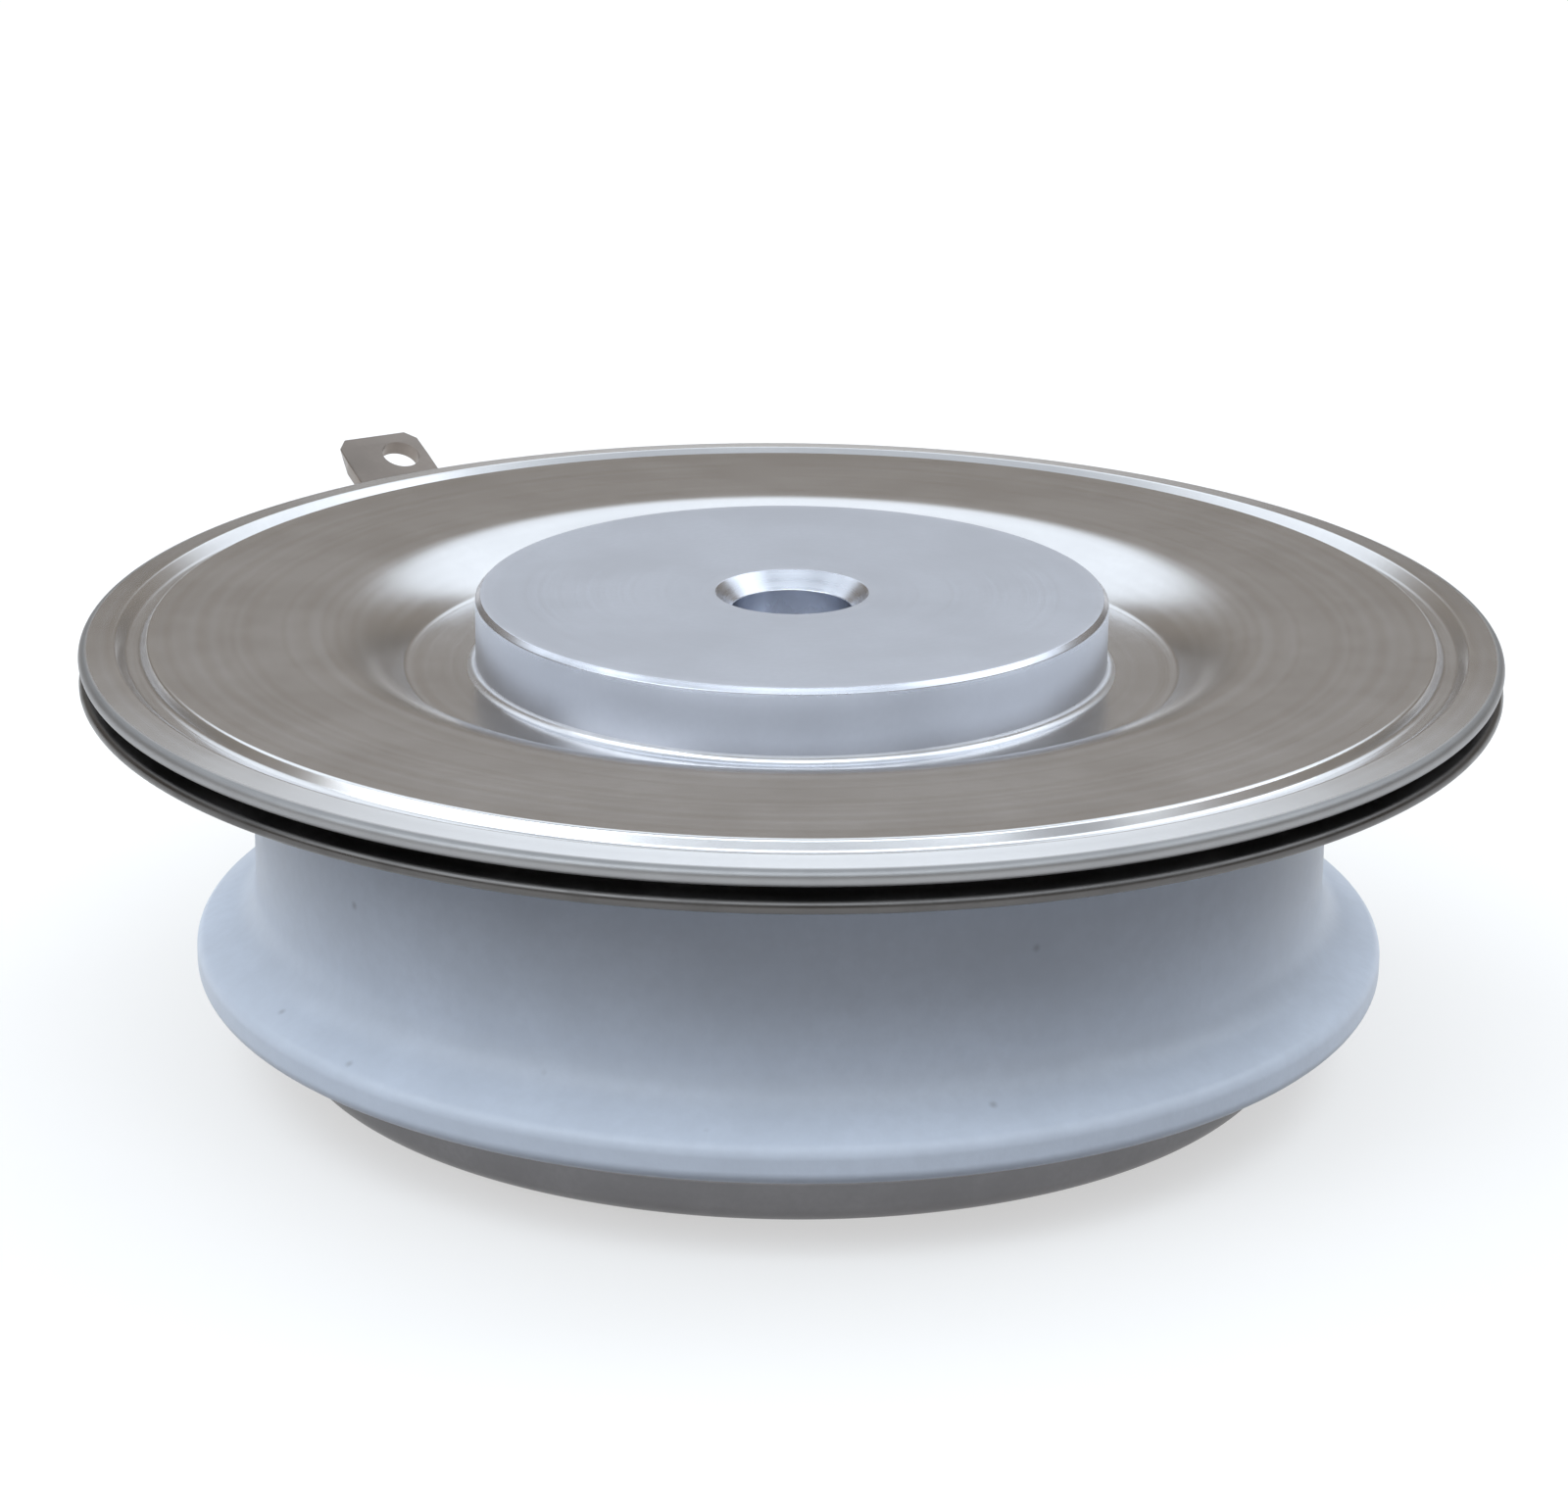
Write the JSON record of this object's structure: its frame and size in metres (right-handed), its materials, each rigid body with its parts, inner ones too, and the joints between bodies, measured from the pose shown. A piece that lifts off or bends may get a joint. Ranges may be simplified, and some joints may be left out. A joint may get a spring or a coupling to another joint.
{
  "type": "disc thyristor",
  "caption": "Flat round power semiconductor capsule: two plated contact poles clamp a silicon wafer inside a flared white ceramic ring, with welded flanges and a gate lug.",
  "frame": {"origin": "centre of the anode contact face, the lower face", "axes": "+Z along the capsule's axis, from the anode face to the cathode face; the gate lug points 121 degrees round from +X towards +Y"},
  "size_m": [0.042, 0.0456, 0.014],
  "materials": {
    "plated_pole": "turned copper with a satin nickel plating",
    "lid_sheet": "pressed sheet with a satin nickel plating",
    "flange_sheet": "pressed sheet, dull plating",
    "white_ceramic": "white alumina, glazed",
    "silver_braze": "bright braze",
    "molybdenum": "lapped",
    "silicon": "polished, metallised",
    "red_rubber": "cured silicone rubber",
    "white_plastic": "turned fluoroplastic",
    "gilt_contact": "gilt",
    "spring_steel": "bright wire",
    "silver_wire": "silver plated",
    "gate_metal": "satin plating"
  },
  "bodies": {
    "root": {"cathode_pole": "plated_pole", "anode_pole": "plated_pole", "cathode_lid": "lid_sheet", "seal_flange": "flange_sheet", "anode_flange": "flange_sheet", "ceramic_housing": "white_ceramic", "cathode_braze_ring": "silver_braze", "anode_braze_ring": "silver_braze", "seal_braze_ring": "silver_braze", "base_braze_ring": "silver_braze", "feedthrough_braze_ring": "silver_braze", "anode_molybdenum_disc": "molybdenum", "cathode_molybdenum_disc": "molybdenum", "silicon_wafer": "silicon", "wafer_edge_seal": "red_rubber", "wafer_locating_ring": "white_plastic", "gate_insulator_cup": "white_plastic", "gate_guide_bush": "white_plastic", "gate_lead_sleeve": "white_plastic", "gate_pin": "gilt_contact", "gate_spring": "spring_steel", "gate_lead": "silver_wire", "gate_feedthrough_tube": "gate_metal", "gate_terminal_lug": "gate_metal"}
  },
  "joints": []
}
